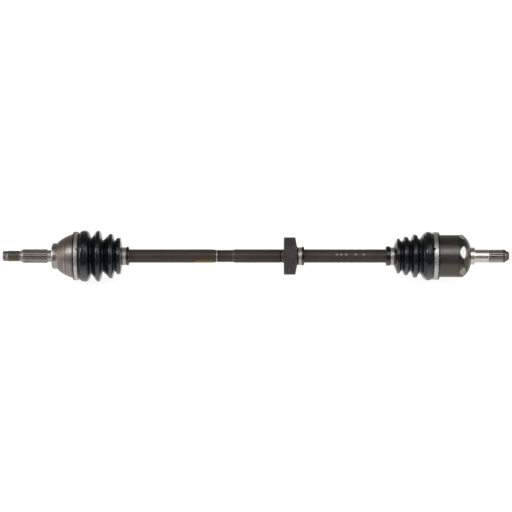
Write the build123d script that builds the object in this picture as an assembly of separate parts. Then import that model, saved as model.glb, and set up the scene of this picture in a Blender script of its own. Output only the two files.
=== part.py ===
from build123d import *
import math
import os

# Front-wheel drive axle: a fixed six-ball joint at the wheel end, a plunging six-ball joint at the
# gearbox end, and a solid bar with a vibration damper between them. All sizes are in millimetres.
# +X runs along the axle towards the gearbox end, +Z is up, and the origin is on the centreline,
# halfway along the axle. A turned outline is a list of (x, radius) points.

# Layout along the axle
LENGTH = 936.0
WHEEL_END = -LENGTH / 2
GEARBOX_END = LENGTH / 2
OUTER_JOINT = -338.0
INNER_JOINT = 351.5

# Details that are clocked round the axle face this way. Angles are in degrees from +Z towards -Y.
FRONT = 70.0
BUCKLE_ANGLE = FRONT - 17
FACET_ANGLE = FRONT - 10
COTTER_ANGLE = FRONT + 10

# Fits
SLIP = 0.05
BALL_COUNT = 6
BALL_RADIUS = 15.875 / 2
BALL_STEP = 360 / BALL_COUNT
PITCH_RADIUS = 27.5

# Wheel-end stub: M20 x 1.5 thread, splines and the shoulder that the hub seats on
PILOT_RADIUS = 9.3
PILOT_LENGTH = 9.5
COTTER_RADIUS = 2.2
COTTER_INSET = 6.8
THREAD_RADIUS = 10.0
THREAD_ROOT_RADIUS = 9.08
THREAD_PITCH = 1.5
THREAD_TURNS = 13
THREAD_CREST = 0.4
THREAD_ROOT = 0.2
UNDERCUT_RADIUS = 9.0
HUB_SPLINE_START = -434.2
HUB_SPLINE_END = -385.5
HUB_SPLINE_TIP = 12.7
HUB_SPLINE_ROOT = 11.6
HUB_SPLINE_TEETH = 22
HUB_NECK_RADIUS = 10.9
SHOULDER = -377.0
SHOULDER_CHAMFER = 2.0
BOSS_RADIUS = 23.8
BOSS_END = -368.6
FLARE_START = -362.8
FLARE_RADIUS = 28.4
FLARE_MIDDLE = (-351.2, 35.8)

# Wheel-end bell and its ball joint. The bell's tracks are offset towards its mouth and the inner
# race's tracks the other way, which holds the balls in the plane that halves the joint angle.
BELL_RADIUS = 40.8
BELL_SEAT_RADIUS = 41.2
BELL_MOUTH = OUTER_JOINT + 15
BELL_SPHERE = 31.12
BELL_FLOOR = OUTER_JOINT - 26.5
BELL_CHAMFER_START = 11.2
TRACK_OFFSET = 3.0
OUTER_TRACK_RADIUS = BALL_RADIUS + 1.0
CAGE_OUTER = 31.0
CAGE_INNER = 26.0
CAGE_HALF = 12.5
WINDOW_PLAY = 0.12
WINDOW_WIDTH = 20.0
RACE_SPHERE = 25.88
RACE_HALF = 12.0

# Bar
SHAFT_RADIUS = 12.3
NECK_RADIUS = 11.2
NECK_START = -81.0
NECK_RING = (-74.4, -71.4)
NECK_RING_RISE = 0.3
NECK_GROOVE = (-71.0, -69.4)
NECK_END = -43.4
NECK_TAPER = 4.6
STOP_GROOVE = (44.4, 46.6)
STOP_GROOVE_DEPTH = 0.6
SHAFT_TIP = 11.9
SHAFT_ROOT = 11.0
SHAFT_TEETH = 24
OUTER_SHAFT_END = OUTER_JOINT - 16
INNER_SHAFT_END = INNER_JOINT + 15
CIRCLIP_INNER = 10.4
CIRCLIP_OUTER = 12.8
CIRCLIP_WIDTH = 1.6
RING_MARKS = (148.0, 158.2, 168.6, 183.4, 198.2)
RING_MARK_WIDTH = 4.4
RING_MARK_DEPTH = 0.4

# Damper
DAMPER_START = 51.7
DAMPER_END = 76.0
DAMPER_RADIUS = 34.5
DAMPER_BORE = 17.6
DAMPER_CLAMP_START = 78.2
DAMPER_CLAMP_END = 84.6
DAMPER_SLEEVE_END = 89.0
DAMPER_SLEEVE_RADIUS = 17.4
DAMPER_SEAT_RADIUS = 15.4

# Gearbox-end cup and its plunging ball joint. Its tracks are straight, and the cage's outer and
# inner spheres are offset to either side of the ball plane instead.
CUP_RADIUS = 39.1
CUP_MOUTH = 322.5
CUP_BORE = 31.1
CUP_BORE_END = 380.0
CUP_FLOOR = 387.0
CUP_FLOOR_RADIUS = 24.0
CUP_END = 381.5
CUP_TRACK_END = 369.0
CUP_TRACK_RADIUS = BALL_RADIUS + 0.75
CAGE_OFFSET = 3.5
CUP_SHOULDER = (389.4, 32.2)
CUP_NECK_RADIUS = 18.3
FACET_LINE = ((373.3, CUP_RADIUS), (386.0, 35.8))
COLLAR_START = 396.2
COLLAR_END = 404.5
COLLAR_RADIUS = 16.0
JOURNAL_RADIUS = 12.1
JOURNAL_START = 406.0
JOURNAL_END = 429.5
STUB_SPLINE_END = 462.0
STUB_SPLINE_TIP = 12.0
STUB_SPLINE_ROOT = 11.0
STUB_SPLINE_TEETH = 22
STUB_CLIP = 457.0
STUB_TIP_RADIUS = 6.2
RETAINER_X = CUP_MOUTH + 4.4
RETAINER_RADIUS = 30.5
RETAINER_WIRE = 1.2

# Boots: turning points of the convolutions' outer surface, from the large end to the small end
BOOT_WALL = 2.6
OUTER_BOOT_FOLDS = (
    (-326.0, 44.6), (-317.0, 47.0), (-305.0, 34.7), (-292.0, 46.9), (-283.3, 29.4),
    (-268.0, 40.9), (-261.8, 27.8), (-255.0, 33.6), (-248.0, 17.4),
)
INNER_BOOT_FOLDS = (
    (326.8, 43.6), (318.5, 44.5), (301.8, 31.3), (293.1, 39.6), (284.3, 27.9),
    (276.5, 35.5), (269.5, 27.0), (262.8, 32.2), (255.4, 17.4),
)
OUTER_BAND = (-334.8, -328.3)
OUTER_BAND_SEAT = 44.1
OUTER_SMALL_BAND = (-246.6, -239.8)
INNER_BAND = (327.2, 334.8)
INNER_BAND_SEAT = 43.1
INNER_SMALL_BAND = (248.2, 254.6)
SMALL_BAND_SEAT = 15.3
OUTER_LIPS = (2.6, 5.2)
INNER_LIPS = (3.2, 8.2)
LARGE_LIP_RISE = 0.8
SMALL_LIP_RADIUS = 17.5
BAND_THICKNESS = 0.8


def turned(*outline):
    """A solid of revolution about the axle's centreline."""
    return revolve(make_face(Polyline(*outline, close=True)), Axis.X)


def turned_edges(*edges):
    """A solid of revolution whose outline holds arcs as well as lines."""
    return revolve(make_face(list(edges)), Axis.X)


def ring(x_start, x_end, inner, outer):
    """A plain ring round the centreline."""
    return turned((x_start, inner), (x_end, inner), (x_end, outer), (x_start, outer))


def around(angle, piece):
    """Turn a piece made above the centreline to an angle round it."""
    return Rot(angle, 0, 0) * piece


def ball_angles():
    return [BALL_STEP * index for index in range(BALL_COUNT)]


def toothed_bar(x_start, x_end, root, tip, teeth, play=0.0):
    """A bar with straight-sided spline teeth. Play widens and raises every tooth for a bore."""
    pitch = 360 / teeth
    flank = ((root + play, -0.32), (tip + play, -0.18), (tip + play, 0.18), (root + play, 0.32))
    outline = []
    for tooth in range(teeth):
        for radius, share in flank:
            widen = math.copysign(math.degrees(play / radius), share)
            angle = math.radians((tooth + share) * pitch + widen)
            outline.append((radius * math.cos(angle), radius * math.sin(angle)))
    section = make_face(Polyline(*outline, close=True))
    return Pos(x_start, 0, 0) * Rot(0, 90, 0) * extrude(section, x_end - x_start)


def open_ring(x_start, x_end, inner, outer, gap, angle):
    """A sprung ring with a gap at the given angle."""
    slot = Pos((x_start + x_end) / 2, 0, outer) * Box(x_end - x_start + 1, gap, outer)
    return ring(x_start, x_end, inner, outer) - around(angle, slot)


def ball(joint, angle):
    return around(angle, Pos(joint, 0, PITCH_RADIUS) * Sphere(BALL_RADIUS))


def outer_ball_radius():
    """Distance from the centreline to an outboard ball, on the offset track's arc."""
    return math.sqrt(PITCH_RADIUS**2 - TRACK_OFFSET**2)


def curved_track(centre, back, front):
    """A ball track that runs on an arc about a point of the centreline."""
    section = Pos(centre, 0, 0) * Rot(0, back, 0) * Pos(0, 0, PITCH_RADIUS) * Rot(0, 90, 0)
    sweep = Axis((centre, 0, 0), (0, 1, 0))
    track = revolve(section * Circle(OUTER_TRACK_RADIUS), sweep, front - back)
    end = Pos(centre, 0, 0) * Rot(0, back, 0) * Pos(0, 0, PITCH_RADIUS)
    return track + end * Sphere(OUTER_TRACK_RADIUS)


def straight_track(x_start, x_end):
    """A ball track parallel to the centreline with a round end."""
    middle = (x_start + x_end) / 2
    bar = Pos(middle, 0, PITCH_RADIUS) * Rot(0, 90, 0) * Cylinder(CUP_TRACK_RADIUS, x_end - x_start)
    return bar + Pos(x_end, 0, PITCH_RADIUS) * Sphere(CUP_TRACK_RADIUS)


def cut_tracks(piece, track):
    for angle in ball_angles():
        piece -= around(angle, track)
    return piece


def cage(joint, outer_centre, inner_centre):
    """A ball cage: a ring between two spheres, with a window for each ball."""
    rim = ring(joint - CAGE_HALF, joint + CAGE_HALF, 10, CAGE_OUTER + 1)
    shell = Pos(outer_centre, 0, 0) * Sphere(CAGE_OUTER) - Pos(inner_centre, 0, 0) * Sphere(CAGE_INNER)
    body = shell & rim
    window = RectangleRounded(2 * (BALL_RADIUS + WINDOW_PLAY), WINDOW_WIDTH, 3)
    for angle in ball_angles():
        body -= around(angle, Pos(joint, 0, CAGE_INNER - 8) * extrude(window, 16))
    return body


def race(sphere_centre, track):
    """An inner race: a slice of a sphere with ball tracks and a splined bore."""
    slice_box = ring(sphere_centre - RACE_HALF, sphere_centre + RACE_HALF, 5, 40)
    body = (Pos(sphere_centre, 0, 0) * Sphere(RACE_SPHERE)) & slice_box
    reach = RACE_HALF + 2
    bore = toothed_bar(
        sphere_centre - reach, sphere_centre + reach, SHAFT_ROOT, SHAFT_TIP, SHAFT_TEETH, 2 * SLIP
    )
    return cut_tracks(body - bore, track)


def thread_outline(x_start):
    """Crests and roots of the thread, one groove for each turn."""
    flank = (THREAD_PITCH - THREAD_CREST - THREAD_ROOT) / 2
    points = []
    for turn in range(THREAD_TURNS):
        x = x_start + turn * THREAD_PITCH
        points += [
            (x, THREAD_RADIUS),
            (x + THREAD_CREST, THREAD_RADIUS),
            (x + THREAD_CREST + flank, THREAD_ROOT_RADIUS),
            (x + THREAD_CREST + flank + THREAD_ROOT, THREAD_ROOT_RADIUS),
        ]
    end = x_start + THREAD_TURNS * THREAD_PITCH
    return points + [(end, THREAD_RADIUS), (end + THREAD_CREST, THREAD_RADIUS)]


def outer_joint_housing():
    """Bell, boss, splines and threaded end in one forging."""
    pilot_end = WHEEL_END + PILOT_LENGTH
    outline = [
        (WHEEL_END, 0),
        (WHEEL_END, PILOT_RADIUS - 1.6),
        (WHEEL_END + 1.6, PILOT_RADIUS),
        (pilot_end, PILOT_RADIUS),
    ]
    outline += thread_outline(pilot_end + THREAD_RADIUS - PILOT_RADIUS)
    thread_end = outline[-1][0]
    outline += [
        (thread_end + 1, UNDERCUT_RADIUS),
        (HUB_SPLINE_START, UNDERCUT_RADIUS),
        (HUB_SPLINE_START, HUB_SPLINE_ROOT - 1),
        (HUB_SPLINE_START + 1, HUB_SPLINE_ROOT - SLIP),
        (HUB_SPLINE_END, HUB_SPLINE_ROOT - SLIP),
        (HUB_SPLINE_END + 1, HUB_NECK_RADIUS),
        (SHOULDER, HUB_NECK_RADIUS),
        (SHOULDER, BOSS_RADIUS - SHOULDER_CHAMFER),
        (SHOULDER + SHOULDER_CHAMFER, BOSS_RADIUS),
        (BOSS_END, BOSS_RADIUS),
        (BOSS_END + 2.2, BOSS_RADIUS + 1.2),
        (FLARE_START - 0.8, FLARE_RADIUS - 0.6),
        (FLARE_START, FLARE_RADIUS),
    ]
    seat_start = (OUTER_JOINT, BELL_RADIUS)
    chamfer_x = OUTER_JOINT + BELL_CHAMFER_START
    chamfer_radius = math.sqrt(BELL_SPHERE**2 - BELL_CHAMFER_START**2)
    mouth_radius = chamfer_radius + BELL_MOUTH - chamfer_x
    floor_radius = math.sqrt(BELL_SPHERE**2 - (OUTER_JOINT - BELL_FLOOR) ** 2)
    body = turned_edges(
        Polyline(*outline),
        ThreePointArc((FLARE_START, FLARE_RADIUS), FLARE_MIDDLE, seat_start),
        Polyline(
            seat_start,
            (OUTER_JOINT + 0.8, BELL_SEAT_RADIUS),
            (BELL_MOUTH - 1, BELL_SEAT_RADIUS),
            (BELL_MOUTH, BELL_SEAT_RADIUS - 1),
            (BELL_MOUTH, mouth_radius),
            (chamfer_x, chamfer_radius),
        ),
        ThreePointArc(
            (chamfer_x, chamfer_radius), (OUTER_JOINT, BELL_SPHERE), (BELL_FLOOR, floor_radius)
        ),
        Polyline((BELL_FLOOR, floor_radius), (BELL_FLOOR, 0), (WHEEL_END, 0)),
    )
    envelope = turned(
        (HUB_SPLINE_START, 0),
        (HUB_SPLINE_START, UNDERCUT_RADIUS),
        (HUB_SPLINE_START + 4, HUB_SPLINE_TIP),
        (HUB_SPLINE_END - 1.5, HUB_SPLINE_TIP),
        (HUB_SPLINE_END, HUB_SPLINE_ROOT),
        (HUB_SPLINE_END, 0),
    )
    teeth = toothed_bar(
        HUB_SPLINE_START, HUB_SPLINE_END, HUB_SPLINE_ROOT, HUB_SPLINE_TIP, HUB_SPLINE_TEETH
    )
    body += teeth & envelope
    body = cut_tracks(body, curved_track(OUTER_JOINT + TRACK_OFFSET, -30.5, 52))
    cotter = Pos(WHEEL_END + COTTER_INSET, 0, 0) * Cylinder(COTTER_RADIUS, 4 * PILOT_RADIUS)
    return body - around(COTTER_ANGLE, cotter)


def outer_race():
    return race(OUTER_JOINT, curved_track(OUTER_JOINT - TRACK_OFFSET, -56, 56))


def outer_cage():
    return cage(OUTER_JOINT, OUTER_JOINT, OUTER_JOINT)


def outer_ball(angle):
    return around(angle, Pos(OUTER_JOINT, 0, outer_ball_radius()) * Sphere(BALL_RADIUS))


def axle_shaft():
    """The solid bar, splined at both ends for the inner races."""
    outer_seat = OUTER_JOINT + RACE_HALF + 2.5
    inner_seat = INNER_JOINT - CAGE_OFFSET - RACE_HALF - 4.5
    outline = [
        (outer_seat, 0),
        (outer_seat, SHAFT_ROOT),
        (outer_seat + 1.5, SHAFT_RADIUS),
        (NECK_START, SHAFT_RADIUS),
        (NECK_RING[0], NECK_RADIUS + NECK_RING_RISE),
        (NECK_RING[1], NECK_RADIUS + NECK_RING_RISE),
        (NECK_GROOVE[0], NECK_RADIUS - NECK_RING_RISE),
        (NECK_GROOVE[1], NECK_RADIUS - NECK_RING_RISE),
        (NECK_GROOVE[1] + NECK_RING_RISE, NECK_RADIUS),
        (NECK_END, NECK_RADIUS),
        (NECK_END + NECK_TAPER, SHAFT_RADIUS),
        (STOP_GROOVE[0], SHAFT_RADIUS),
        (STOP_GROOVE[0] + 0.4, SHAFT_RADIUS - STOP_GROOVE_DEPTH),
        (STOP_GROOVE[1] - 0.4, SHAFT_RADIUS - STOP_GROOVE_DEPTH),
        (STOP_GROOVE[1], SHAFT_RADIUS),
    ]
    for mark in RING_MARKS:
        outline += [
            (mark - RING_MARK_WIDTH / 2, SHAFT_RADIUS),
            (mark, SHAFT_RADIUS - RING_MARK_DEPTH),
            (mark + RING_MARK_WIDTH / 2, SHAFT_RADIUS),
        ]
    outline += [
        (inner_seat - 1.5, SHAFT_RADIUS),
        (inner_seat, SHAFT_ROOT),
        (inner_seat, 0),
    ]
    bar = turned(*outline)
    for x_start, x_end in ((OUTER_SHAFT_END, outer_seat), (inner_seat, INNER_SHAFT_END)):
        envelope = turned(
            (x_start, 0), (x_start, SHAFT_ROOT - 1), (x_start + 2, SHAFT_TIP),
            (x_end - 2, SHAFT_TIP), (x_end, SHAFT_ROOT - 1), (x_end, 0),
        )
        longer = toothed_bar(x_start - 1, x_end + 1, SHAFT_ROOT, SHAFT_TIP, SHAFT_TEETH)
        bar += longer & envelope
    for x_start in circlip_places():
        groove = ring(x_start - SLIP, x_start + CIRCLIP_WIDTH + SLIP, CIRCLIP_INNER - SLIP, 20)
        bar -= groove
    return bar


def circlip_places():
    """Where each circlip starts: behind the outboard race, and on both sides of the inboard one."""
    inner_race = INNER_JOINT - CAGE_OFFSET
    return (
        OUTER_JOINT - RACE_HALF - CIRCLIP_WIDTH - 2 * SLIP,
        inner_race - RACE_HALF - CIRCLIP_WIDTH - 2 * SLIP,
        inner_race + RACE_HALF + 2 * SLIP,
    )


def circlip(x_start):
    return open_ring(x_start, x_start + CIRCLIP_WIDTH, CIRCLIP_INNER, CIRCLIP_OUTER, 4, 20)


def damper_mass():
    """The damper's heavy ring, with rounded rims and a slightly conical face."""
    return turned(
        (DAMPER_START, DAMPER_BORE), (DAMPER_START, DAMPER_RADIUS - 1.2),
        (DAMPER_START + 0.4, DAMPER_RADIUS - 0.4), (DAMPER_START + 1.2, DAMPER_RADIUS),
        (DAMPER_END - 4.2, DAMPER_RADIUS), (DAMPER_END - 3.4, DAMPER_RADIUS - 0.3),
        (DAMPER_END - 3, DAMPER_RADIUS - 1.2), (DAMPER_END, DAMPER_BORE),
    )


def damper_sleeve():
    """Rubber sleeve between the bar and the heavy ring, with a collar for its clamp."""
    return turned(
        (DAMPER_START + 0.4, SHAFT_RADIUS + SLIP),
        (DAMPER_START + 0.4, DAMPER_BORE - SLIP),
        (DAMPER_END + 0.6, DAMPER_BORE - SLIP),
        (DAMPER_CLAMP_START - SLIP, DAMPER_SEAT_RADIUS),
        (DAMPER_CLAMP_END + SLIP, DAMPER_SEAT_RADIUS),
        (DAMPER_CLAMP_END + 0.4, DAMPER_SLEEVE_RADIUS),
        (DAMPER_SLEEVE_END - 0.8, DAMPER_SLEEVE_RADIUS),
        (DAMPER_SLEEVE_END, DAMPER_SLEEVE_RADIUS - 1),
        (DAMPER_SLEEVE_END, SHAFT_RADIUS + SLIP),
    )


def strap_clamp(band, seat, buckle_height, buckle_length, angle):
    """A steel strap round a boot, with its folded buckle."""
    x_start, x_end = band
    inner = seat + SLIP
    outer = inner + BAND_THICKNESS
    buckle = Pos((x_start + x_end) / 2, 0, outer + buckle_height / 2 - 0.5)
    block = Box(x_end - x_start, buckle_length, buckle_height + 1)
    block = fillet(block.edges().filter_by(Axis.X).group_by(Axis.Z)[-1], buckle_height / 3)
    cleared = around(angle, buckle * block) - ring(x_start - 1, x_end + 1, 0.1, inner + 0.1)
    return ring(x_start, x_end, inner, outer) + cleared


def inner_joint_housing():
    """Cup, seal collar, journal and splined end in one forging."""
    stub_chamfer = STUB_SPLINE_END - 1.4
    body = turned_edges(
        Polyline(
            (CUP_FLOOR, 0),
            (CUP_FLOOR, CUP_FLOOR_RADIUS),
            (CUP_BORE_END, CUP_BORE),
            (CUP_MOUTH + 1.5, CUP_BORE),
            (CUP_MOUTH, CUP_BORE + 1.5),
            (CUP_MOUTH, CUP_RADIUS - 1),
            (CUP_MOUTH + 1, CUP_RADIUS),
            (CUP_END, CUP_RADIUS),
        ),
        ThreePointArc((CUP_END, CUP_RADIUS), CUP_SHOULDER, (COLLAR_START, CUP_NECK_RADIUS)),
        Polyline(
            (COLLAR_START, CUP_NECK_RADIUS),
            (COLLAR_START + 0.6, COLLAR_RADIUS),
            (COLLAR_END - 0.8, COLLAR_RADIUS),
            (COLLAR_END, COLLAR_RADIUS - 0.8),
            (COLLAR_END, JOURNAL_RADIUS - 0.4),
            (JOURNAL_START - 0.4, JOURNAL_RADIUS - 0.4),
            (JOURNAL_START, JOURNAL_RADIUS),
            (JOURNAL_END, JOURNAL_RADIUS),
            (JOURNAL_END + 1.5, STUB_SPLINE_ROOT - SLIP),
            (stub_chamfer, STUB_SPLINE_ROOT - SLIP),
            (GEARBOX_END - 1, STUB_TIP_RADIUS + 1.4),
            (GEARBOX_END, STUB_TIP_RADIUS),
            (GEARBOX_END, 0),
            (CUP_FLOOR, 0),
        ),
    )
    envelope = turned(
        (JOURNAL_END, 0), (JOURNAL_END, STUB_SPLINE_ROOT), (JOURNAL_END + 2.5, STUB_SPLINE_TIP),
        (STUB_SPLINE_END - 2.4, STUB_SPLINE_TIP), (STUB_SPLINE_END, STUB_SPLINE_ROOT - 0.9),
        (STUB_SPLINE_END, 0),
    )
    teeth = toothed_bar(
        JOURNAL_END, STUB_SPLINE_END, STUB_SPLINE_ROOT, STUB_SPLINE_TIP, STUB_SPLINE_TEETH
    )
    body += teeth & envelope
    body -= ring(STUB_CLIP - SLIP, STUB_CLIP + CIRCLIP_WIDTH + SLIP, CIRCLIP_INNER - SLIP, 20)
    body = cut_tracks(body, straight_track(CUP_MOUTH - 5, CUP_TRACK_END))
    wire_groove = Pos(RETAINER_X, RETAINER_RADIUS) * Circle(RETAINER_WIRE + 0.1)
    body -= revolve(wire_groove, Axis.X)
    return cut_facets(body)


def cut_facets(body):
    """Six flats where the cup's side meets its closed end."""
    low, high = FACET_LINE
    slope = math.degrees(math.atan2(high[0] - low[0], low[1] - high[1]))
    place = Pos((low[0] + high[0]) / 2, 0, (low[1] + high[1]) / 2) * Rot(0, 90 - slope, 0)
    for angle in ball_angles():
        body -= around(FACET_ANGLE + angle, place * Pos(0, 0, 10) * Box(40, 60, 20))
    return body


def retaining_ring():
    """Round-wire ring that keeps the balls in the cup."""
    wire = Pos(RETAINER_X, RETAINER_RADIUS) * Circle(RETAINER_WIRE)
    return around(10, revolve(wire, Axis.X, 350))


def bellows_outline(folds):
    """The boot's outer and inner outlines between its seats, as smooth waves."""
    steps = 6
    outer, inner = [], []
    for (x_from, r_from), (x_to, r_to) in zip(folds, folds[1:]):
        for step in range(steps):
            phase = math.pi * step / steps
            x = x_from + (x_to - x_from) * step / steps
            radius = r_from + (r_to - r_from) * (1 - math.cos(phase)) / 2
            slope = (r_to - r_from) * math.sin(phase) * math.pi / 2 / (x_to - x_from)
            lean = math.hypot(1, slope)
            outer.append((x, radius))
            inner.append((x + BOOT_WALL * slope / lean, radius - BOOT_WALL / lean))
    return outer, inner


def boot(folds, band, seat, bore, small_band, lips):
    """A rubber boot: large collar, convolutions and small collar, hollow throughout."""
    large_lip, small_lip = lips
    way = math.copysign(1, folds[-1][0] - folds[0][0])
    large = sorted(band, key=lambda x: x * way)
    small = sorted(small_band, key=lambda x: x * way)
    outer, inner = bellows_outline(folds)
    small_bore = SHAFT_RADIUS + SLIP
    large_end = large[0] - way * large_lip
    small_end = small[1] + way * small_lip
    outline = [
        (large_end, bore),
        (large_end, seat + LARGE_LIP_RISE - 0.5),
        (large_end + way * 0.6, seat + LARGE_LIP_RISE),
        (large[0] - way * 0.4, seat + LARGE_LIP_RISE),
        (large[0] - way * SLIP, seat),
        (large[1] + way * SLIP, seat),
    ]
    outline += outer
    outline += [
        folds[-1],
        (small[0] - way * SLIP, SMALL_BAND_SEAT),
        (small[1] + way * SLIP, SMALL_BAND_SEAT),
        (small[1] + way * 0.5, SMALL_LIP_RADIUS),
        (small_end - way, SMALL_LIP_RADIUS),
        (small_end, SMALL_LIP_RADIUS - 1),
        (small_end, small_bore),
        (small[0] - way, small_bore),
    ]
    outline += reversed([point for point in inner if point[1] > SMALL_BAND_SEAT][1:])
    outline += [(large[1] + way * 1.2, bore)]
    return turned(*outline)


def pieces():
    """Every node's name and shape."""
    made = {
        "outer_joint_housing": outer_joint_housing(),
        "outer_joint_race": outer_race(),
        "outer_joint_cage": outer_cage(),
        "axle_shaft": axle_shaft(),
        "damper_mass_ring": damper_mass(),
        "damper_rubber_sleeve": damper_sleeve(),
        "inner_joint_housing": inner_joint_housing(),
        "inner_joint_race": race(
            INNER_JOINT - CAGE_OFFSET, straight_track(INNER_JOINT - 30, INNER_JOINT + 20)
        ),
        "inner_joint_cage": cage(INNER_JOINT, INNER_JOINT + CAGE_OFFSET, INNER_JOINT - CAGE_OFFSET),
        "cup_retaining_ring": retaining_ring(),
        "gearbox_stub_circlip": open_ring(
            STUB_CLIP, STUB_CLIP + CIRCLIP_WIDTH, CIRCLIP_INNER, STUB_SPLINE_TIP, 3, FRONT + 90
        ),
        "outer_boot": boot(
            OUTER_BOOT_FOLDS, OUTER_BAND, OUTER_BAND_SEAT, BELL_SEAT_RADIUS + SLIP,
            OUTER_SMALL_BAND, OUTER_LIPS,
        ),
        "inner_boot": boot(
            INNER_BOOT_FOLDS, INNER_BAND, INNER_BAND_SEAT, CUP_RADIUS + SLIP,
            INNER_SMALL_BAND, INNER_LIPS,
        ),
        "outer_boot_large_clamp": strap_clamp(OUTER_BAND, OUTER_BAND_SEAT, 1.6, 14, BUCKLE_ANGLE),
        "outer_boot_small_clamp": strap_clamp(OUTER_SMALL_BAND, SMALL_BAND_SEAT, 1.2, 8, FRONT),
        "inner_boot_large_clamp": strap_clamp(INNER_BAND, INNER_BAND_SEAT, 1.6, 14, BUCKLE_ANGLE),
        "inner_boot_small_clamp": strap_clamp(INNER_SMALL_BAND, SMALL_BAND_SEAT, 1.2, 8, FRONT),
        "damper_clamp": strap_clamp(
            (DAMPER_CLAMP_START, DAMPER_CLAMP_END), DAMPER_SEAT_RADIUS, 1.2, 8, FRONT
        ),
    }
    circlip_names = ("outer_race_circlip", "inner_race_stop_ring", "inner_race_circlip")
    for name, x_start in zip(circlip_names, circlip_places()):
        made[name] = circlip(x_start)
    for index, angle in enumerate(ball_angles(), start=1):
        made[f"outer_joint_ball_{index}"] = outer_ball(angle)
        made[f"inner_joint_ball_{index}"] = ball(INNER_JOINT, angle)
    return made


os.makedirs("parts", exist_ok=True)
for name, shape in pieces().items():
    export_step(shape, f"parts/{name}.step")
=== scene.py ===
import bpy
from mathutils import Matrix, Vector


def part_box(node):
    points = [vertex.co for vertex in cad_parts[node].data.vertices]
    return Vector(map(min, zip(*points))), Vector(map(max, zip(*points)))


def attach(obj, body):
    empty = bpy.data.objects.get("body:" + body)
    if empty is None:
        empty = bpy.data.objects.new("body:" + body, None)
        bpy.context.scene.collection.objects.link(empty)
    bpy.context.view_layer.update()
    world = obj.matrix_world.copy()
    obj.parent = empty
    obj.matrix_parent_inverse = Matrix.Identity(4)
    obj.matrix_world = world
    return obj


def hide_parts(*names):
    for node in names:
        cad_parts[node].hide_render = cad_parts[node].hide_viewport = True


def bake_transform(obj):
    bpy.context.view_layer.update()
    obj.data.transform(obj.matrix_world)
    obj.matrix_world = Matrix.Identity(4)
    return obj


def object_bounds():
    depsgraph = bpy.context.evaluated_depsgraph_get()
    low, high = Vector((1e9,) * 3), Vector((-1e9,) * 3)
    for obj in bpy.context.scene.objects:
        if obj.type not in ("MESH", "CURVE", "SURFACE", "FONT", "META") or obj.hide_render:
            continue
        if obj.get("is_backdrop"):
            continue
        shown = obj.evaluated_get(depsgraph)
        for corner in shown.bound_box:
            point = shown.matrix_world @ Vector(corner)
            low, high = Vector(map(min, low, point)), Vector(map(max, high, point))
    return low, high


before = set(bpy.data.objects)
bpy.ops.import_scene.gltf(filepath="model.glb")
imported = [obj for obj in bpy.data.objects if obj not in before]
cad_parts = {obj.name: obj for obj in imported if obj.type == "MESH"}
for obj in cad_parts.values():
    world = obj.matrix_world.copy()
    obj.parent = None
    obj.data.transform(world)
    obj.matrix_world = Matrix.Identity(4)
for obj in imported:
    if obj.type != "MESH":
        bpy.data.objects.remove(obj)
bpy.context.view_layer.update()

import math

import bpy
from mathutils import Vector

# A drive axle with two rubber boots, on a white floor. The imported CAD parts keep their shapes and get
# their materials here. The boots and the strap clamps are built here, in the places of their plain CAD
# stand-ins. Lengths are in millimetres unless a comment says otherwise; Blender's own units are metres.
# Angles round the axle are in degrees from +Z towards -Y, which is the camera's side.

MM = 0.001
TOP = 0
WHITE = (1, 1, 1, 1)
CAMERA_ELEVATION = 20
FRONT = 90 - CAMERA_ELEVATION
CUP_RADIUS = 39.1


def span(node):
    """A CAD node's first and last x, in millimetres."""
    low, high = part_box(node)
    return low.x / MM, high.x / MM


WHEEL_END = span("outer_joint_housing")[0]
OUTER_BOOT_START = span("outer_boot")[0]
INNER_BOOT_START = span("inner_boot")[1]


# ---------------------------------------------------------------- shader helpers

# Blender's mix node has a set of sockets for each data type. These are the numbers of those in use here.
MIX_FACTOR, FLOAT_A, FLOAT_B, FLOAT_RESULT = 0, 2, 3, 0
COLOUR_A, COLOUR_B, COLOUR_RESULT = 6, 7, 2


def srgb(red, green, blue):
    """A colour given as 0 to 255 display values, in the linear values that Blender mixes."""
    def linear(value):
        value /= 255
        return value / 12.92 if value <= 0.04045 else ((value + 0.055) / 1.055) ** 2.4
    return (linear(red), linear(green), linear(blue), 1)


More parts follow.
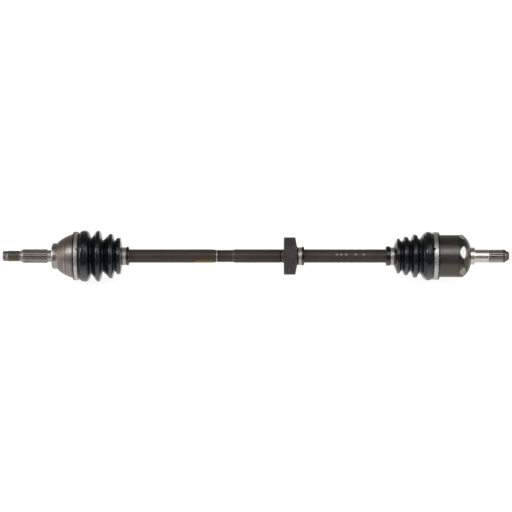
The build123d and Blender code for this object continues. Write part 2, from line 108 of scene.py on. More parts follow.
class Paint:
    """A principled material built up in layers. Sizes and places along the axle are in millimetres.

    A moulded material takes its place from the rest attribute that new_object stores. A plain one takes
    it from the object's own coordinates.
    """

    def __init__(self, name, colour, rough, metal, moulded=False):
        self.material = bpy.data.materials.new(name)
        self.material.use_nodes = True
        self.tree = self.material.node_tree
        self.surface = self.tree.nodes["Principled BSDF"]
        if moulded:
            place = self.add("ShaderNodeAttribute", attribute_name="rest").outputs["Vector"]
        else:
            place = self.add("ShaderNodeTexCoord").outputs["Object"]
        self.place = self.vector("SCALE", place, scale=1 / MM)
        split = self.add("ShaderNodeSeparateXYZ")
        self.join(split.inputs[0], self.place)
        self.x, self.y, self.z = split.outputs
        flat = self.add("ShaderNodeCombineXYZ")
        self.join(flat.inputs[1], self.y)
        self.join(flat.inputs[2], self.z)
        self.radius = self.vector("LENGTH", flat.outputs[0])
        self.colour, self.rough, self.metal = colour, rough, metal
        self.height = None

    def add(self, kind, **settings):
        node = self.tree.nodes.new(kind)
        for key, value in settings.items():
            setattr(node, key, value)
        return node

    def join(self, socket, value):
        """Feed a socket from another socket, or set it to a plain value."""
        if isinstance(value, bpy.types.NodeSocket):
            self.tree.links.new(value, socket)
        else:
            socket.default_value = value

    def math(self, operation, *values):
        node = self.add("ShaderNodeMath", operation=operation)
        for socket, value in zip(node.inputs, values):
            self.join(socket, value)
        return node.outputs[0]

    def vector(self, operation, *values, scale=None):
        node = self.add("ShaderNodeVectorMath", operation=operation)
        for socket, value in zip(node.inputs, values):
            self.join(socket, value)
        if scale is not None:
            node.inputs["Scale"].default_value = scale
        return node.outputs["Value" if operation in ("LENGTH", "DOT_PRODUCT") else "Vector"]

    def ease(self, value, start, end):
        """0 before start, 1 after end, smooth between them. Start may be above end."""
        flip = start > end
        node = self.add("ShaderNodeMapRange", interpolation_type="SMOOTHSTEP")
        self.join(node.inputs["Value"], value)
        node.inputs["From Min"].default_value = min(start, end)
        node.inputs["From Max"].default_value = max(start, end)
        node.inputs["To Min"].default_value = 1 if flip else 0
        node.inputs["To Max"].default_value = 0 if flip else 1
        return node.outputs["Result"]

    def band(self, value, low, high, soft=0.3):
        """1 between low and high, with soft sides."""
        return self.both(self.ease(value, low - soft, low), self.ease(value, high + soft, high))

    def facing(self, angle):
        """Cosine of the angle between this point and a direction round the axle."""
        turn = math.radians(angle)
        along = self.vector("DOT_PRODUCT", self.place, (0, -math.sin(turn), math.cos(turn)))
        return self.math("DIVIDE", along, self.radius)

    def noise(self, size, detail=3, stretch=(1, 1, 1)):
        """Noise with features of about the given size, longer along an axis whose stretch is above 1."""
        scaled = self.vector("DIVIDE", self.place, tuple(size * part for part in stretch))
        node = self.add("ShaderNodeTexNoise")
        self.join(node.inputs["Vector"], scaled)
        node.inputs["Scale"].default_value = 1
        node.inputs["Detail"].default_value = detail
        node.inputs["Roughness"].default_value = 0.55
        return node.outputs[0]

    def blotches(self, size, low, high):
        """Patches of about the given size. Higher limits make them rarer."""
        return self.ease(self.noise(size, 4), low, high)

    def turning(self, pitch):
        """Fine tool rings round the axle: noise that changes along x only."""
        line = self.add("ShaderNodeCombineXYZ")
        self.join(line.inputs[0], self.math("DIVIDE", self.x, pitch))
        node = self.add("ShaderNodeTexNoise")
        self.join(node.inputs["Vector"], line.outputs[0])
        node.inputs["Scale"].default_value = 1
        node.inputs["Detail"].default_value = 2
        return node.outputs[0]

    def both(self, *masks):
        """1 only where every mask is 1."""
        result = masks[0]
        for mask in masks[1:]:
            result = self.math("MULTIPLY", result, mask)
        return result

    def blend_value(self, mask, old, new):
        node = self.add("ShaderNodeMix", data_type="FLOAT")
        self.join(node.inputs[MIX_FACTOR], mask)
        self.join(node.inputs[FLOAT_A], old)
        self.join(node.inputs[FLOAT_B], new)
        return node.outputs[FLOAT_RESULT]

    def blend_colour(self, mask, old, new):
        node = self.add("ShaderNodeMix", data_type="RGBA")
        self.join(node.inputs[MIX_FACTOR], mask)
        self.join(node.inputs[COLOUR_A], old)
        self.join(node.inputs[COLOUR_B], new)
        return node.outputs[COLOUR_RESULT]

    def layer(self, mask, colour=None, rough=None, metal=None, amount=1):
        """Cover what is there where the mask is 1."""
        if amount != 1:
            mask = self.math("MULTIPLY", mask, amount)
        if colour is not None:
            self.colour = self.blend_colour(mask, self.colour, colour)
        if rough is not None:
            self.rough = self.blend_value(mask, self.rough, rough)
        if metal is not None:
            self.metal = self.blend_value(mask, self.metal, metal)

    def raise_by(self, shape, depth):
        """Add a relief: shape runs 0 to 1 and depth is in millimetres."""
        lifted = self.math("MULTIPLY", shape, depth * MM)
        self.height = lifted if self.height is None else self.math("ADD", self.height, lifted)

    def done(self, **settings):
        """Connect the layers. Settings are other inputs of the shader, with _ for each space."""
        self.join(self.surface.inputs["Base Color"], self.colour)
        self.join(self.surface.inputs["Roughness"], self.rough)
        self.join(self.surface.inputs["Metallic"], self.metal)
        if self.height is not None:
            bump = self.add("ShaderNodeBump")
            bump.inputs["Distance"].default_value = 1
            self.join(bump.inputs["Height"], self.height)
            self.join(self.surface.inputs["Normal"], bump.outputs[0])
        for name, value in settings.items():
            self.surface.inputs[name.replace("_", " ")].default_value = value
        return self.material


# ---------------------------------------------------------------- materials

def bell_material():
    """Wheel-end forging: satin turned bell, ground boss, bright splines and a stained thread."""
    bright_rings = (-354.4, -352.6), (-348.0, -346.0), (-343.6, -341.4)
    dull_rings = (-351.0, -349.8), (-345.4, -344.2)
    boss_face, stained, browned = (-377.4, -366.0), (-373, -360), (-366, -340)
    stub_end = WHEEL_END + 91
    splines = WHEEL_END + 38.4, WHEEL_END + 81.5
    thread = WHEEL_END + 9.8, WHEEL_END + 30.4
    relief = WHEEL_END + 30.8, WHEEL_END + 33.6

    paint = Paint("bell_steel", srgb(155, 149, 147), 0.36, 0.95)
    paint.layer(paint.blotches(9, 0.42, 0.7), srgb(144, 134, 129), 0.38, amount=0.6)
    paint.layer(paint.blotches(2.2, 0.5, 0.75), srgb(128, 117, 111), 0.4, amount=0.35)
    for ring in bright_rings:
        paint.layer(paint.band(paint.x, *ring), srgb(186, 179, 180), 0.34)
    for ring in dull_rings:
        paint.layer(paint.band(paint.x, *ring), srgb(134, 124, 119), 0.38, amount=0.6)
    paint.layer(paint.band(paint.x, *boss_face, 0.4), srgb(196, 191, 190), 0.2, 1)

    upper = paint.ease(paint.facing(FRONT - 50), 0.35, 0.8)
    stain = paint.both(paint.band(paint.x, *stained, 3), paint.blotches(6, 0.42, 0.62), upper)
    paint.layer(stain, srgb(104, 76, 56), 0.42, 0.8, amount=0.75)
    film = paint.both(paint.band(paint.x, *browned, 6), upper)
    paint.layer(film, srgb(118, 101, 90), 0.42, amount=0.5)

    stub = paint.ease(paint.x, stub_end, stub_end - 1)
    paint.layer(stub, srgb(204, 196, 192), 0.3, 0.95)
    paint.layer(paint.both(stub, paint.blotches(7, 0.5, 0.7)), srgb(168, 158, 152), 0.38)
    spline_roots = paint.both(paint.band(paint.x, *splines, 1), paint.ease(paint.radius, 12.4, 11.8))
    paint.layer(spline_roots, srgb(124, 117, 112), 0.5)
    threaded = paint.band(paint.x, *thread, 0.5)
    paint.layer(threaded, srgb(176, 165, 152), 0.36, 0.9)
    paint.layer(paint.both(threaded, paint.ease(paint.radius, 9.9, 9.2)), srgb(82, 73, 65), 0.6)
    paint.layer(paint.band(paint.x, *relief, 0.4), srgb(150, 142, 146), 0.4)
    paint.layer(paint.ease(paint.x, WHEEL_END + 10, WHEEL_END + 8.5), srgb(136, 138, 144), 0.36)

    paint.raise_by(paint.turning(0.35), 0.012)
    paint.raise_by(paint.noise(1.3), 0.012)
    return paint.done()


def shaft_material():
    """Bar: dark oiled steel, a thin brown film, a rubbed ring, a dab of paint and painted highlights."""
    neck_start_highlight, groove_by_ring = (-73.4, -71.6), (-70.0, -68.6)
    neck_end_highlight = -42.6, -40.6
    damper_groove, damper_rub = (44.3, 46.7), (47.2, 50.8)
    glint_marks = 149.5, 157.5, 166.5, 184.0, 199.0
    paint_dab = -104, -73

    paint = Paint("shaft_steel", srgb(68, 57, 48), 0.36, 0.35)
    paint.layer(paint.blotches(26, 0.4, 0.65), srgb(60, 50, 42), 0.4)
    paint.layer(paint.noise(3, stretch=(6, 1, 1)), srgb(80, 71, 63), amount=0.3)
    paint.layer(paint.blotches(5, 0.58, 0.72), srgb(54, 45, 38), 0.42, amount=0.6)
    # Painted highlight: a bright ring where the neck's start catches the light.
    paint.layer(paint.band(paint.x, *neck_start_highlight, 0.3), srgb(196, 192, 184), 0.3, 0.9)
    paint.layer(paint.band(paint.x, *groove_by_ring, 0.3), srgb(30, 25, 22), 0.6)
    # Painted highlight: a lighter ring where the neck's end catches the light.
    paint.layer(paint.band(paint.x, *neck_end_highlight, 0.5), srgb(108, 100, 92), 0.36, 0.7)
    paint.layer(paint.band(paint.x, *damper_groove, 0.2), srgb(30, 26, 24), 0.6)
    paint.layer(paint.band(paint.x, *damper_rub, 0.4), srgb(112, 104, 97), 0.34, 0.7)

    # Painted highlight: short light dashes on the ring marks, only along the line where the highlight
    # falls.
    line = paint.ease(paint.facing(FRONT - 13), 0.985, 0.996)
    for middle in glint_marks:
        glint_mark = paint.both(line, paint.band(paint.x, middle - 2, middle + 2, 0.8))
        paint.layer(glint_mark, srgb(128, 124, 119), 0.3)

    ragged = paint.math("MULTIPLY_ADD", paint.noise(4), 14, paint.x)
    underside = paint.ease(paint.facing(FRONT + 78), 0.79, 0.88)
    dab = paint.both(paint.band(ragged, *paint_dab, 2), underside)
    paint.layer(dab, srgb(128, 92, 18), 0.5, 0, amount=0.9)

    paint.raise_by(paint.noise(0.9, 4), 0.015)
    paint.raise_by(paint.noise(1.0, stretch=(14, 1, 1)), 0.01)
    return paint.done()


def cup_arc():
    """Centre and radius of the arc from the cup's side to its neck, through three of its points."""
    side, shoulder, neck = (381.5, CUP_RADIUS), (389.4, 32.2), (396.2, 18.3)
    (ax, ay), (bx, by), (cx, cy) = side, shoulder, neck
    cross = 2 * (ax * (by - cy) + bx * (cy - ay) + cx * (ay - by))
    squares = [x * x + y * y for x, y in ((ax, ay), (bx, by), (cx, cy))]
    centre_x = (squares[0] * (by - cy) + squares[1] * (cy - ay) + squares[2] * (ay - by)) / cross
    centre_y = (squares[0] * (cx - bx) + squares[1] * (ax - cx) + squares[2] * (bx - ax)) / cross
    return centre_x, centre_y, math.hypot(ax - centre_x, ay - centre_y)


def cup_material():
    """Gearbox-end forging: dark oiled cup, bright flats, ground collar and journal, splined end."""
    closed_end, flats = (372, 390), (372, 387)
    neck, journal_end = 396, 430
    stain_by_tip, tip = (456.6, 458.8), 459

    paint = Paint("cup_steel", srgb(102, 97, 96), 0.28, 0.92)
    paint.layer(paint.blotches(14, 0.4, 0.66), srgb(99, 93, 88), 0.28)
    paint.layer(paint.noise(3, stretch=(12, 1, 1)), srgb(126, 121, 122), amount=0.3)
    oily = paint.band(paint.x, *closed_end, 3)
    paint.layer(paint.both(oily, paint.blotches(5, 0.42, 0.62)), srgb(74, 74, 64), 0.22, amount=0.8)
    paint.layer(paint.both(oily, paint.blotches(7, 0.47, 0.62)), srgb(48, 92, 70), 0.2, amount=0.8)

    # A flat is where the surface lies under the round shape that the cup would have without it.
    centre_x, centre_y, arc = cup_arc()
    away_x = paint.math("POWER", paint.math("SUBTRACT", paint.x, centre_x), 2)
    surface = paint.math("SQRT", paint.math("MAXIMUM", paint.math("SUBTRACT", arc * arc, away_x), 0))
    surface = paint.math("MINIMUM", paint.math("ADD", surface, centre_y), CUP_RADIUS)
    sunk = paint.math("SUBTRACT", surface, paint.radius)
    flat = paint.both(paint.ease(sunk, 0.15, 0.5), paint.band(paint.x, *flats, 0.2))
    paint.layer(flat, srgb(226, 224, 216), 0.22, 0.95)
    # Painted shade: flats turned away from the front get a duller, darker copy of the flat finish.
    shaded_side = paint.ease(paint.facing(FRONT - 10), 0.85, 0.7)
    paint.layer(paint.both(flat, shaded_side), srgb(182, 172, 158), 0.36)

    paint.layer(paint.ease(paint.x, neck - 0.1, neck + 0.6), srgb(242, 239, 235), 0.22, 1)
    stub = paint.ease(paint.x, journal_end - 0.7, journal_end)
    paint.layer(stub, srgb(212, 207, 205), 0.3, 0.95)
    paint.layer(paint.both(stub, paint.ease(paint.radius, 11.8, 11.1)), srgb(94, 89, 87), 0.5)
    paint.layer(paint.band(paint.x, *stain_by_tip, 0.3), srgb(70, 50, 38), 0.6)
    paint.layer(paint.ease(paint.x, tip - 0.1, tip + 0.4), srgb(128, 124, 112), 0.36)
    paint.raise_by(paint.turning(0.4), 0.004)
    return paint.done()


def plain_steel(name, colour, rough, grain):
    """Steel with a slight mottle, for parts that hide inside the joints."""
    paint = Paint(name, colour, rough, 1)
    darker = tuple(part * 0.75 for part in colour[:3]) + (1,)
    paint.layer(paint.blotches(6, 0.4, 0.7), darker, rough + 0.08)
    paint.raise_by(paint.noise(0.8), grain)
    return paint.done()


def rubber_material(name, bloom, moulded=True):
    """Black moulded rubber, faintly blue in its highlights, with a pale dusty bloom.

    Painted reflection of the white floor pales the crests' undersides, and a painted grazing sheen lies
    as a rim on the flanks that face the bar's middle.
    """
    paint = Paint(name, srgb(10, 10, 12), 0.14, 0, moulded)
    paint.layer(paint.blotches(8, 0.45, 0.7), srgb(14, 14, 17), 0.18)
    paint.layer(paint.blotches(1.6, 0.55, 0.75), bloom, 0.3, amount=0.1)

    normal = paint.add("ShaderNodeSeparateXYZ")
    paint.join(normal.inputs[0], paint.add("ShaderNodeNewGeometry").outputs["Normal"])
    normal_x, _, normal_z = normal.outputs
    # Painted reflection: faces that turn down are lightened as if they mirrored the white floor.
    crest = paint.ease(paint.math("ABSOLUTE", normal_x), 0.7, 0.3)
    under = paint.ease(normal_z, 0.1, -0.75)
    paint.layer(paint.both(under, crest), srgb(92, 94, 97), 0.3, amount=0.8)

    # Painted sheen: a pale rim where the flanks that face the bar's middle are seen at a grazing angle,
    # away from the front.
    outward = paint.math("MULTIPLY", normal_x, paint.math("SIGN", paint.x))
    glancing = paint.ease(paint.add("ShaderNodeLayerWeight").outputs["Facing"], 0.45, 0.8)
    off_front = paint.ease(paint.facing(FRONT), 0.62, 0.2)
    grazing_sheen = paint.both(paint.ease(outward, -0.3, -0.7), glancing, off_front)
    paint.layer(grazing_sheen, srgb(214, 205, 198), 0.5, amount=0.95)

    paint.raise_by(paint.noise(0.5, 3), 0.004)
    return paint.done(Specular_IOR_Level=0.8, Specular_Tint=(0.76, 0.86, 1, 1),
                      Sheen_Weight=0.6, Sheen_Roughness=0.2, Sheen_Tint=(1, 0.94, 0.9, 1))


def damper_material():
    """Damper ring: matte charcoal moulding skin with fine pores."""
    paint = Paint("damper_rubber", srgb(56, 52, 54), 0.62, 0)
    paint.layer(paint.blotches(5, 0.42, 0.66), srgb(43, 40, 43), 0.7)
    paint.layer(paint.blotches(1.1, 0.6, 0.74), srgb(84, 78, 78), 0.6, amount=0.6)
    paint.raise_by(paint.noise(0.6, 4), 0.06)
    return paint.done()


def strap_material(name, colour, shade, rough, slots=()):
    """Stainless strap, brushed along its length. Slots are where a large strap's tail hooks in."""
    paint = Paint(name, colour, rough, 0.9, moulded=True)
    paint.layer(paint.noise(0.35, stretch=(1, 14, 14)), shade, rough + 0.1, amount=0.45)
    paint.layer(paint.blotches(5, 0.5, 0.72), shade, rough + 0.12, amount=0.5)
    for start, end in slots:
        above_tail = paint.ease(paint.facing(TAIL_START - 37), 0.79, 0.81)
        paint.layer(above_tail, shade, rough + 0.1, amount=0.6)
        at_tail = paint.ease(paint.facing(TAIL_START), 0.9984, 0.9991)
        paint.layer(paint.both(paint.band(paint.x, start, end), at_tail), srgb(18, 18, 20), 0.7, 0)
    paint.raise_by(paint.noise(0.3, stretch=(1, 20, 20)), 0.008)
    return paint.done()


# ---------------------------------------------------------------- mesh helpers

ARC_STEPS = 5
FILLET_SHARE = 0.49
SHORTEST_FILLET = 0.01


def rounded(corners):
    """Points along an outline whose corners (along, radius, fillet) are true arcs.

    A fillet uses at most FILLET_SHARE of the straight on each side of it.
    """
    points = [Vector(corners[0][:2])]
    for before, corner, after in zip(corners, corners[1:], corners[2:]):
        here = Vector(corner[:2])
        back, ahead = Vector(before[:2]) - here, Vector(after[:2]) - here
        turn = math.pi - back.angle(ahead)
        fillet = corner[2] if len(corner) > 2 else 0
        room = FILLET_SHARE * min(back.length, ahead.length)
        reach = min(fillet * math.tan(turn / 2), room)
        if reach < SHORTEST_FILLET:
            points.append(here)
            continue
        start, end = here + back.normalized() * reach, here + ahead.normalized() * reach
        pull = math.cos(turn / 2)
        for step in range(ARC_STEPS + 1):
            share = step / ARC_STEPS
            weights = (1 - share) ** 2, 2 * pull * share * (1 - share), share**2
            points.append((start * weights[0] + here * weights[1] + end * weights[2]) / sum(weights))
    points.append(Vector(corners[-1][:2]))
    return points


def inset(corners, wall):
    """The inner corners of an outline, moved in by the wall, with fillets that keep the wall even."""
    moved = []
    for before, corner, after in zip(corners, corners[1:], corners[2:]):
        here = Vector(corner[:2])
        along = (here - Vector(before[:2])).normalized()
        onward = (Vector(after[:2]) - here).normalized()
        inward = Vector((along.y, -along.x)), Vector((onward.y, -onward.x))
        shift = (inward[0] + inward[1]) / (1 + inward[0].dot(inward[1])) * wall
        crest = along.x * onward.y - along.y * onward.x < 0
        fillet = max(corner[2] - wall, 0.2) if crest else corner[2] + wall
        moved.append((here.x + shift.x, here.y + shift.y, fillet))
    return moved


def new_object(name, vertices, faces, material, smooth_below):
    """A mesh object whose faces shade smoothly across edges flatter than the given angle."""
    mesh = bpy.data.meshes.new(name)
    mesh.from_pydata([Vector(vertex) * MM for vertex in vertices], [], faces)
    mesh.validate()
    mesh.update()
    rest = mesh.attributes.new("rest", "FLOAT_VECTOR", "POINT")
    rest.data.foreach_set("vector", [part for vertex in mesh.vertices for part in vertex.co])
    mesh.shade_smooth()
    mesh.set_sharp_from_angle(angle=math.radians(smooth_below))
    mesh.materials.append(material)
    made = bpy.data.objects.new(name, mesh)
    bpy.context.scene.collection.objects.link(made)
    return made


def spun(loop, angles, lift):
    """Vertices and faces of a closed outline turned about the axle.

    Lift gives how much further out a point lies, from its index in the outline and its angle.
    """
    vertices, faces = [], []
    count = len(loop)
    for angle in angles:
        turn = math.radians(angle)
        for index, (along, radius) in enumerate(loop):
            reach = radius + lift(index, angle)
            vertices.append((along, -reach * math.sin(turn), reach * math.cos(turn)))
    for column in range(len(angles)):
        here, there = column * count, (column + 1) % len(angles) * count
        for index in range(count):
            after = (index + 1) % count
            faces.append((here + index, here + after, there + after, there + index))
    return vertices, faces


# ---------------------------------------------------------------- boots

# Outer outlines from the large lip to the small one: (distance from the large lip, radius, fillet).
OUTER_BOOT = (
    (0, 41.3), (0, 44.6, 0.5), (0.5, 45.0, 0.5), (2.2, 45.0, 0.5), (2.4, 44.1, 0.2), (9.2, 44.1, 0.2),
    (9.4, 43.6, 0.3), (10.2, 43.0, 0.6), (11.8, 43.8, 1.5), (15.5, 46.8, 4), (21.5, 47.7, 5),
    (28.3, 45.5, 4), (32.2, 34.2, 1.2), (33.8, 34.2, 1.2), (43.8, 47.5, 4), (49.6, 47.0, 3.4),
    (54.2, 28.5, 1.1), (67.2, 41.7, 3.4), (72.6, 41.0, 2.8), (75.9, 27.0, 1), (80.6, 34.3, 2.2),
    (87.2, 33.2, 2), (90.2, 17.2, 1), (90.6, 15.6, 0.3), (90.8, 15.3, 0.3), (97.7, 15.3, 0.2),
    (98.1, 17.3, 0.5), (101.8, 17.5, 0.8), (102.8, 16.4, 0.4), (102.8, 12.35),
)
INNER_BOOT = (
    (0, 39.2), (0, 43.6, 0.6), (0.6, 44.0, 0.6), (2.8, 44.0, 0.6), (3.1, 43.1, 0.2), (10.9, 43.1, 0.2),
    (11.1, 42.5, 0.3), (11.6, 42.1, 0.6), (12.4, 42.6, 1), (16.0, 44.6, 4), (22.6, 45.2, 5),
    (29.6, 40.6, 4), (35.8, 30.3, 1.4), (41.0, 39.7, 2.4), (47.6, 40.2, 2.4), (52.8, 27.0, 1.2),
    (57.8, 35.4, 2.2), (63.8, 36.0, 2.2), (68.4, 26.2, 1.2), (73.4, 32.6, 2), (77.4, 32.6, 2),
    (82.6, 19.6, 1.5), (83.2, 15.6, 0.3), (83.4, 15.3, 0.3), (89.8, 15.3, 0.2), (90.2, 18.0, 0.8),
    (97.0, 18.2, 1.4), (98.0, 16.8, 0.8), (98.0, 12.35),
)
BOOT_WALL = 1.9
BOOT_SEGMENTS = 180

# The mould's parting lines: low ridges over the folds, left off the straight seat of the small clamp.
PARTING_ANGLES = (TOP, TOP + 180)
PARTING_WIDTH = 1.6
PARTING_RISE = 0.22
SMALL_END_RADIUS = 18

# The inner boot is split INNER_SPLIT from its large lip, where its bending ends.
INNER_SPLIT = 34


def boot_angles():
    """Evenly spaced angles, with one more close to each side of the mould's parting lines."""
    step = 360 / BOOT_SEGMENTS
    angles = [index * step for index in range(BOOT_SEGMENTS)]
    for line in PARTING_ANGLES:
        angles += [(line - PARTING_WIDTH / 2) % 360, (line + PARTING_WIDTH / 2) % 360]
    return sorted(set(angles))


def boot_piece(name, outer, inner, start, way, material):
    """A closed rubber shell between two outlines that run the same way along the axle."""
    loop = [(start + way * point[0], point[1]) for point in outer + inner[::-1]]
    skin = len(outer)

    def parting(index, angle):
        on_line = any(abs((angle - line + 180) % 360 - 180) < PARTING_WIDTH / 4
                      for line in PARTING_ANGLES)
        on_fold = index < skin and outer[index][1] > SMALL_END_RADIUS
        return PARTING_RISE if on_line and on_fold else 0

    vertices, faces = spun(loop, boot_angles(), parting)
    if way > 0:
        faces = [face[::-1] for face in faces]
    return new_object(name, vertices, faces, material, smooth_below=60)


def boot_outlines(corners, first_fold, last_fold):
    """A boot's outer and inner outlines. The inner one follows the folds, with straight seats."""
    outer = rounded(corners)
    folds = inset(corners[first_fold - 1 : last_fold + 2], BOOT_WALL)
    bore, small_bore = corners[0][1], corners[-1][1]
    ends = (folds[0][0] - 0.6, bore, 0.3), (folds[-1][0] - 0.4, small_bore, 0.3)
    inner = [(0, bore), ends[0]] + folds + [ends[1], (corners[-1][0], small_bore)]
    return outer, rounded(inner)[1:-1]


def blend_along(piece):
    """Bake a piece's placement into its mesh."""
    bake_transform(piece)


def split_outline(points, along):
    """The two parts of an outline on either side of a place, both ending exactly there."""
    for index, (here, after) in enumerate(zip(points, points[1:])):
        if here.x <= along < after.x:
            share = (along - here.x) / (after.x - here.x)
            cut = here.lerp(after, share)
            return points[: index + 1] + [cut], [cut] + points[index + 1 :]
    raise ValueError("the outline doesn't pass that place")


def make_outer_boot(material):
    outer, inner = boot_outlines(OUTER_BOOT, first_fold=8, last_fold=22)
    boot = boot_piece("outer_boot_rubber", outer, inner, OUTER_BOOT_START, 1, material)
    blend_along(boot)
    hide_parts("outer_boot")


def make_inner_boot(material):
    """Two closed pieces that meet on the wide fold's flank."""
    outer, inner = boot_outlines(INNER_BOOT, first_fold=8, last_fold=21)
    near_outer, far_outer = split_outline(outer, INNER_SPLIT)
    near_inner, far_inner = split_outline(inner, INNER_SPLIT - 0.6)
    near = boot_piece("inner_boot_cup_side", near_outer, near_inner, INNER_BOOT_START, -1, material)
    far = boot_piece("inner_boot_bar_side", far_outer, far_inner, INNER_BOOT_START, -1, material)
    blend_along(far)
    blend_along(near)
    for boot in (near, far):
        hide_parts("inner_boot")


# ---------------------------------------------------------------- strap clamps

STRAP_THICKNESS = 0.8
STRAP_STEP = 2.5  # degrees between cross-sections
TAIL_START = FRONT - 17
# The radius that each strap sits on.
LARGE_SEATS = {"outer_boot_large_clamp": 44.14, "inner_boot_large_clamp": 43.14}
SMALL_SEATS = {"outer_boot_small_clamp": 15.34, "inner_boot_small_clamp": 15.34, "damper_clamp": 15.45}
SECTION_POINTS = 8


def strap_section(radius, middle, width, rise):
    """Cross-section of a strap with slightly bevelled edges, as SECTION_POINTS points."""
    half, edge = width / 2, min(0.2, rise / 3)
    return [
        (middle - half + edge, radius), (middle + half - edge, radius),
        (middle + half, radius + edge), (middle + half, radius + rise - edge),
        (middle + half - edge, radius + rise), (middle - half + edge, radius + rise),
        (middle - half, radius + rise - edge), (middle - half, radius + edge),
    ]


def strap_run(start, end, shape, closed=False):
    """A strap swept round the axle. Shape gives (radius, middle, width, rise) for a share of the way."""
    steps = max(4, round(abs(end - start) / STRAP_STEP))
    columns = steps if closed else steps + 1
    vertices, faces = [], []
    for column in range(columns):
        share = column / steps
        turn = math.radians(start + (end - start) * share)
        for along, radius in strap_section(*shape(share)):
            vertices.append((along, -radius * math.sin(turn), radius * math.cos(turn)))
    for column in range(steps):
        here, there = column * SECTION_POINTS, (column + 1) % columns * SECTION_POINTS
        for index in range(SECTION_POINTS):
            after = (index + 1) % SECTION_POINTS
            faces.append((here + after, here + index, there + index, there + after))
    if not closed:
        last = (columns - 1) * SECTION_POINTS
        faces.append(tuple(range(SECTION_POINTS)))
        faces.append(tuple(last + index for index in reversed(range(SECTION_POINTS))))
    return vertices, faces


def merged(runs):
    """Several vertex and face lists as one."""
    vertices, faces = [], []
    for run_vertices, run_faces in runs:
        base = len(vertices)
        vertices += run_vertices
        faces += [tuple(base + index for index in face) for face in run_faces]
    return vertices, faces


def make_strap(node, body, seat, material, tail_angles, clip, half_clip):
    """A strap clamp: one full turn, an outer tail that overlaps it, and a ridged clip at an angle."""
    low, high = span(node)
    middle, width = (low + high) / 2, high - low
    outer = seat + STRAP_THICKNESS

    def turn(share):
        return seat, middle, width, STRAP_THICKNESS

    def tail(share):
        flush = min(1, (1 - share) * 6)
        return outer - 0.3 + 0.34 * flush, middle, width * 0.92, STRAP_THICKNESS * (0.45 + 0.55 * flush)

    def clip_plate(share):
        return outer - 0.1, middle, width * 0.98, 0.5

    def clip_ridge(share):
        return outer + 0.2, middle, width * 0.8, 0.3 + math.sin(math.pi * share)

    runs = [
        strap_run(0, 360, turn, closed=True),
        strap_run(*tail_angles, tail),
        strap_run(clip - half_clip, clip + half_clip, clip_plate),
    ]
    for place in (-0.55, 0.45):
        centre, reach = clip + half_clip * place, half_clip * 0.22
        runs.append(strap_run(centre - reach, centre + reach, clip_ridge))
    vertices, faces = merged(runs)
    strap = new_object(node + "_strap", vertices, faces, material, smooth_below=35)
    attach(strap, body)
    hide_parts(node)


def make_clamps():
    outer_edge, inner_edge = span("outer_boot_large_clamp")[1], span("inner_boot_large_clamp")[0]
    slots = (outer_edge - 2.4, outer_edge + 1), (inner_edge - 1, inner_edge + 2)
    bright = strap_material("clamp_steel", srgb(228, 231, 230), srgb(186, 184, 178), 0.3, slots)
    warm = strap_material("small_clamp_steel", srgb(222, 216, 207), srgb(182, 174, 163), 0.34)
    for node, seat in LARGE_SEATS.items():
        body = node.split("_")[0] + "_housing"
        make_strap(node, body, seat, bright,
                   tail_angles=(TAIL_START, FRONT + 58), clip=TOP - 1, half_clip=7)
    for node, seat in SMALL_SEATS.items():
        make_strap(node, "shaft", seat, warm,
                   tail_angles=(FRONT - 1, FRONT + 120), clip=FRONT + 170, half_clip=14)


# ---------------------------------------------------------------- carried-over CAD nodes

def finish_nodes():
    """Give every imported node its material."""
    race = plain_steel("race_steel", srgb(176, 172, 166), 0.3, 0.01)
    polished = plain_steel("ball_steel", srgb(222, 222, 224), 0.08, 0.002)
    spring = plain_steel("spring_steel", srgb(120, 112, 104), 0.4, 0.02)
    finishes = {
        "outer_joint_housing": bell_material(),
        "inner_joint_housing": cup_material(),
        "axle_shaft": shaft_material(),
        "damper_mass_ring": damper_material(),
        "damper_rubber_sleeve": rubber_material("sleeve_rubber", srgb(70, 66, 64), moulded=False),
    }
    for name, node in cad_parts.items():
        if name in finishes:
            material = finishes[name]
        elif "_ball_" in name:
            material = polished
        elif "circlip" in name or "stop_ring" in name or "retaining" in name:
            material = spring
        else:
            material = race
        node.data.materials.clear()
        node.data.materials.append(material)


# ---------------------------------------------------------------- floor, light and camera

def floor_material():
    """White paper. Polished steel mirrors it as a lit table with a near edge and a brighter far side."""
    paint = Paint("floor_paper", (0.15, 0.15, 0.15, 1), 0.9, 0)
    paint.layer(paint.blotches(400, 0.3, 0.7), (0.16, 0.16, 0.16, 1))
    dark, lit, bright = (0.13, 0.12, 0.11, 1), (0.62, 0.59, 0.56, 1), (0.95, 0.92, 0.90, 1)
    table = paint.blend_colour(paint.ease(paint.y, -180, -90), dark, lit)
    table = paint.blend_colour(paint.ease(paint.y, -10, 110), table, bright)
    mirrored = paint.add("ShaderNodeEmission")
    paint.join(mirrored.inputs["Color"], table)
    choice = paint.add("ShaderNodeMixShader")
    paint.join(choice.inputs[0], paint.add("ShaderNodeLightPath").outputs["Is Glossy Ray"])
    paint.join(choice.inputs[1], paint.surface.outputs[0])
    paint.join(choice.inputs[2], mirrored.outputs[0])
    material = paint.done(Emission_Color=WHITE, Emission_Strength=0.92)
    paint.join(paint.tree.nodes["Material Output"].inputs["Surface"], choice.outputs[0])
    return material


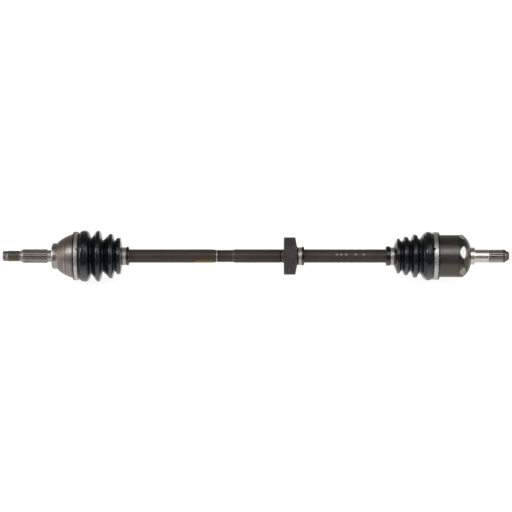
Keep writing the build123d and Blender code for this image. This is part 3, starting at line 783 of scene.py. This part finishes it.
def make_floor(height):
    """A large pale floor that gives off light, so that it stays even. Its lengths are in metres."""
    reach, cells = 6.0, 12
    step, points = 2 * reach / cells, cells + 1
    vertices = [(-reach + column * step, -reach + row * step, height)
                for row in range(points) for column in range(points)]
    faces = [(corner, corner + 1, corner + points + 1, corner + points)
             for row in range(cells) for corner in range(row * points, row * points + cells)]
    mesh = bpy.data.meshes.new("floor")
    mesh.from_pydata(vertices, [], faces)
    floor = bpy.data.objects.new("floor", mesh)
    bpy.context.scene.collection.objects.link(floor)
    mesh.materials.append(floor_material())
    floor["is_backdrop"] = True


# Name, azimuth and elevation in degrees, distance and (width, height) in metres, power in watts, colour.
SOFTBOXES = (
    ("left_key", -56, 34, 3.0, (0.8, 0.8), 20, (0.93, 0.97, 1)),
    ("left_fill", -13, 38, 3.0, (0.45, 1.0), 1.7, (0.95, 0.98, 1)),
    ("right_key", 54, 38, 3.0, (1.5, 1.4), 8, (0.97, 0.99, 1)),
    ("middle_light", 16, 42, 3.2, (0.9, 1.4), 7.5, (0.96, 0.98, 1)),
    ("upper_light", 0, 62, 3.2, (5.0, 1.7), 13, (1, 0.97, 0.94)),
    ("side_light", -90, 8, 2.5, (1.4, 1.0), 9, (0.97, 0.99, 1)),
    ("side_light", 90, 8, 2.5, (1.4, 1.0), 9, (0.97, 0.99, 1)),
)


def make_softbox(name, azimuth, elevation, distance, size, power, colour):
    """A soft rectangular light that looks at the axle's middle."""
    data = bpy.data.lights.new(name, "AREA")
    data.shape = "RECTANGLE"
    data.size, data.size_y = size
    data.energy = power
    data.color = colour
    light = bpy.data.objects.new(name, data)
    light.visible_camera = False
    around, up = math.radians(azimuth), math.radians(elevation)
    away = Vector((math.sin(around) * math.cos(up), -math.cos(around) * math.cos(up), math.sin(up)))
    light.location = away * distance
    light.rotation_mode = "QUATERNION"
    light.rotation_quaternion = away.to_track_quat("Z", "Y")
    bpy.context.scene.collection.objects.link(light)
    light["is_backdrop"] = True


def make_world():
    """Soft shadowless fill. Polished parts mirror a brown room with white paper rising at its back."""
    world = bpy.data.worlds.new("studio")
    bpy.context.scene.world = world
    world.use_nodes = True
    nodes, links = world.node_tree.nodes, world.node_tree.links
    direction = nodes.new("ShaderNodeSeparateXYZ")
    links.new(nodes.new("ShaderNodeTexCoord").outputs["Generated"], direction.inputs[0])

    def ramp(value, start, end):
        node = nodes.new("ShaderNodeMapRange")
        node.inputs["From Min"].default_value = start
        node.inputs["From Max"].default_value = end
        links.new(value, node.inputs["Value"])
        return node.outputs["Result"]

    def mixed(mask, old, new):
        node = nodes.new("ShaderNodeMix")
        node.data_type = "RGBA"
        links.new(mask, node.inputs[MIX_FACTOR])
        for socket, value in ((node.inputs[COLOUR_A], old), (node.inputs[COLOUR_B], new)):
            if isinstance(value, tuple):
                socket.default_value = value
            else:
                links.new(value, socket)
        return node.outputs[COLOUR_RESULT]

    wall, ceiling = (0.19, 0.17, 0.15, 1), (0.10, 0.08, 0.06, 1)
    paper, above_paper = (0.95, 0.92, 0.90, 1), (0.30, 0.27, 0.25, 1)
    fill, backdrop = (0.55, 0.55, 0.56, 1), (0.98, 0.98, 0.98, 1)
    near = mixed(ramp(direction.outputs["Z"], 0.3, 0.95), wall, ceiling)
    far = mixed(ramp(direction.outputs["Z"], 0.04, 0.3), paper, above_paper)
    room = mixed(ramp(direction.outputs["Y"], 0.4, 0.9), near, far)
    rays = nodes.new("ShaderNodeLightPath").outputs
    matte = mixed(rays["Is Camera Ray"], fill, backdrop)
    links.new(mixed(rays["Is Glossy Ray"], matte, room), nodes["Background"].inputs["Color"])


def make_camera():
    """A long lens at the front and a little above, which is the photo's angle."""
    distance, rise = 4.0, math.radians(CAMERA_ELEVATION)  # metres and radians
    data = bpy.data.cameras.new("camera")
    data.sensor_width = 36
    data.lens = 152
    camera = bpy.data.objects.new("camera", data)
    away = Vector((0, -math.cos(rise), math.sin(rise)))
    camera.location = away * distance
    camera.rotation_mode = "QUATERNION"
    camera.rotation_quaternion = away.to_track_quat("Z", "Y")
    bpy.context.scene.collection.objects.link(camera)
    bpy.context.scene.camera = camera


finish_nodes()
boot_rubber = rubber_material("boot_rubber", srgb(58, 56, 58))
make_outer_boot(boot_rubber)
make_inner_boot(boot_rubber)
make_clamps()
make_floor(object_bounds()[0].z)
for softbox in SOFTBOXES:
    make_softbox(*softbox)
make_world()
make_camera()
bpy.context.scene.view_settings.view_transform = "Standard"
